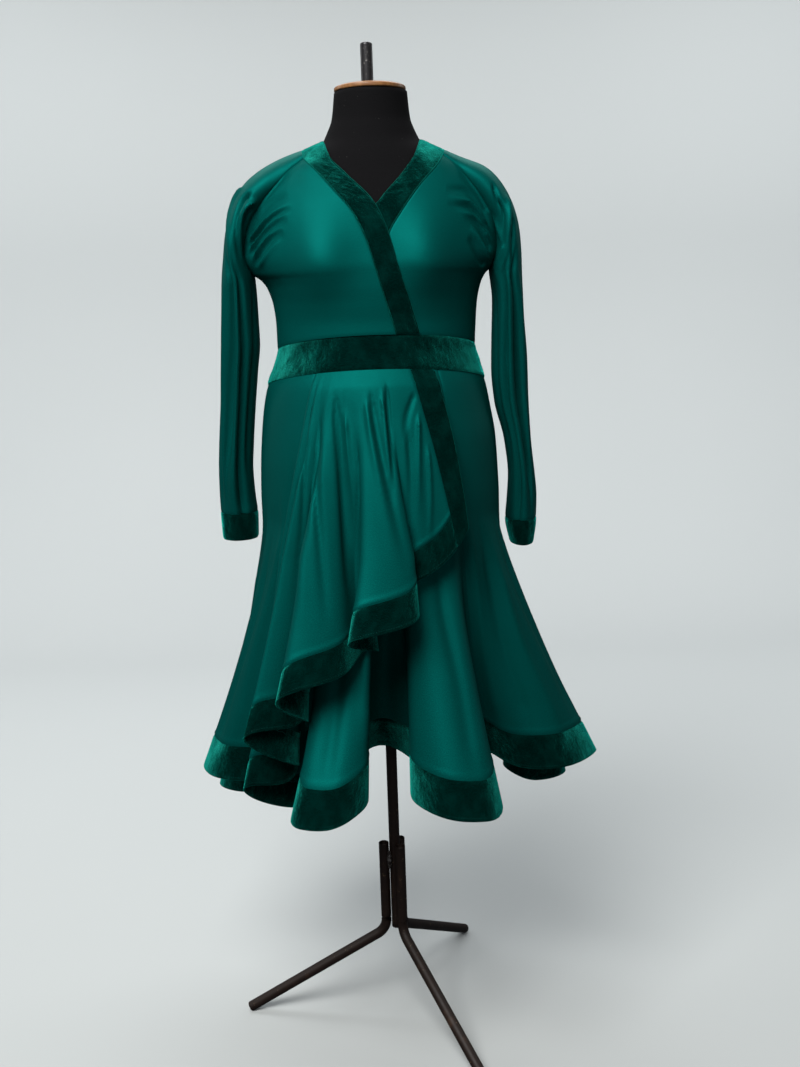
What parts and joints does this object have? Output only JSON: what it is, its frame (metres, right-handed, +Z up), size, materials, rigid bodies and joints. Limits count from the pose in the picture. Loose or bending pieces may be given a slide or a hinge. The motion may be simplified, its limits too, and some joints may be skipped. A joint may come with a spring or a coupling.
{
  "type": "ball gown on dress form",
  "caption": "Emerald long-sleeved wrap ball gown with velvet bands and a cascading overskirt, on a limbless dress form and tripod stand.",
  "frame": {"origin": "centre of the bounding box at floor level", "axes": "+Z up, -Y towards the front of the gown, +X towards the wearer's left"},
  "size_m": [0.7194, 0.6329, 1.76],
  "materials": {
    "satin": "satin stretch knit",
    "velvet": "crushed velvet",
    "form_jersey": "matte jersey",
    "cap_wood": "varnished",
    "stand_steel": "worn brown paint",
    "pole_steel": "dark bare steel"
  },
  "bodies": {
    "root": {"bodice_back": "satin", "bodice_front_left": "satin", "bodice_front_right": "satin", "cuff_left": "velvet", "cuff_right": "velvet", "form_torso": "form_jersey", "hem_back": "velvet", "hem_front": "velvet", "hem_left": "velvet", "hem_right": "velvet", "leg_back": "stand_steel", "leg_front": "stand_steel", "leg_right": "stand_steel", "neck_cap": "cap_wood", "neckband_left": "velvet", "neckband_right": "velvet", "overskirt": "satin", "overskirt_edge": "velvet", "overskirt_hem": "velvet", "pole": "stand_steel", "pole_top": "pole_steel", "skirt_back": "satin", "skirt_front": "satin", "skirt_left": "satin", "skirt_right": "satin", "sleeve_left": "satin", "sleeve_right": "satin", "waistband": "velvet", "weld_back": "stand_steel", "weld_front": "stand_steel", "weld_right": "stand_steel"}
  },
  "joints": []
}
